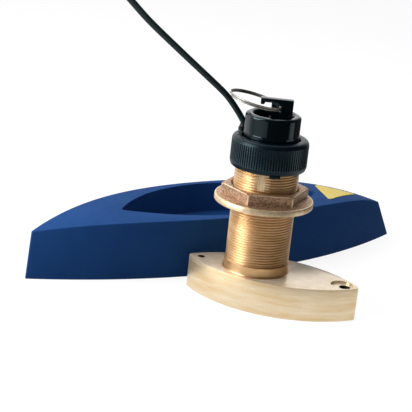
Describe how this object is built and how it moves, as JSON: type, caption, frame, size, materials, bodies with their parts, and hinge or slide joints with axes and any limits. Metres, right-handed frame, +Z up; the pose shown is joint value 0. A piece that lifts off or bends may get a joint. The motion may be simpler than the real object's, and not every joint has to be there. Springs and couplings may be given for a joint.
{
  "type": "sonar transducer",
  "caption": "Through-hull depth, speed and temperature transducer: bronze lens base and threaded stem, nuts, octagonal cap with pull ring, cable, and a blue fairing block beside it.",
  "frame": {"origin": "the stem's axis at the base's flat underside, the level that the base and the fairing stand on", "axes": "+Z up the stem, +X along the base's long half"},
  "size_m": [0.2572, 0.3681, 0.2796],
  "materials": {
    "housing": "polished cast bronze",
    "acoustic_window": "potted resin",
    "piezo_element": "fired ceramic",
    "element_backing": "cork",
    "element_lead": "smooth",
    "hull_nut": "sand-cast bronze, machined rim",
    "cap_nut": "moulded, satin",
    "insert_body": "moulded",
    "lower_oring": "smooth",
    "upper_oring": "smooth",
    "paddlewheel": "moulded",
    "paddle_axle": "ground",
    "temperature_probe": "turned",
    "sensor_board": "solder mask",
    "insert_cap": "glossy moulding",
    "pull_handle": "glossy moulding",
    "pull_ring": "polished stainless wire",
    "cable": "smooth jacket",
    "cable_gland": "satin",
    "plug_body": "moulded",
    "plug_nut": "nickel plated",
    "plug_contacts": "gold plated pins",
    "fairing": "smooth blue coating",
    "fairing_arrow": "yellow patch"
  },
  "bodies": {
    "transducer": {"housing": "housing", "acoustic_window": "acoustic_window", "piezo_element": "piezo_element", "element_backing": "element_backing", "element_lead": "element_lead", "hull_nut": "hull_nut", "cap_nut": "cap_nut", "insert_body": "insert_body", "lower_oring": "lower_oring", "upper_oring": "upper_oring", "paddle_axle": "paddle_axle", "temperature_probe": "temperature_probe", "sensor_board": "sensor_board", "insert_cap": "insert_cap", "pull_handle": "pull_handle", "cable": "cable", "cable_gland": "cable_gland", "plug_body": "plug_body", "plug_nut": "plug_nut", "plug_contacts": "plug_contacts", "fairing": "fairing", "fairing_arrow": "fairing_arrow"},
    "paddlewheel": {"paddlewheel": "paddlewheel"},
    "pull_ring": {"pull_ring": "pull_ring"}
  },
  "joints": [
    {"name": "paddlewheel_spin", "type": "hinge", "parent": "transducer", "child": "paddlewheel", "pos_m": [0, 0, 0.0103], "axis": [0, 1, 0], "continuous": true},
    {"name": "pull_ring_swing", "type": "hinge", "parent": "transducer", "child": "pull_ring", "pos_m": [0.00486, 0.00139, 0.1584], "axis": [-0.2756, 0.9613, 0], "range_deg": [0, 110]}
  ]
}
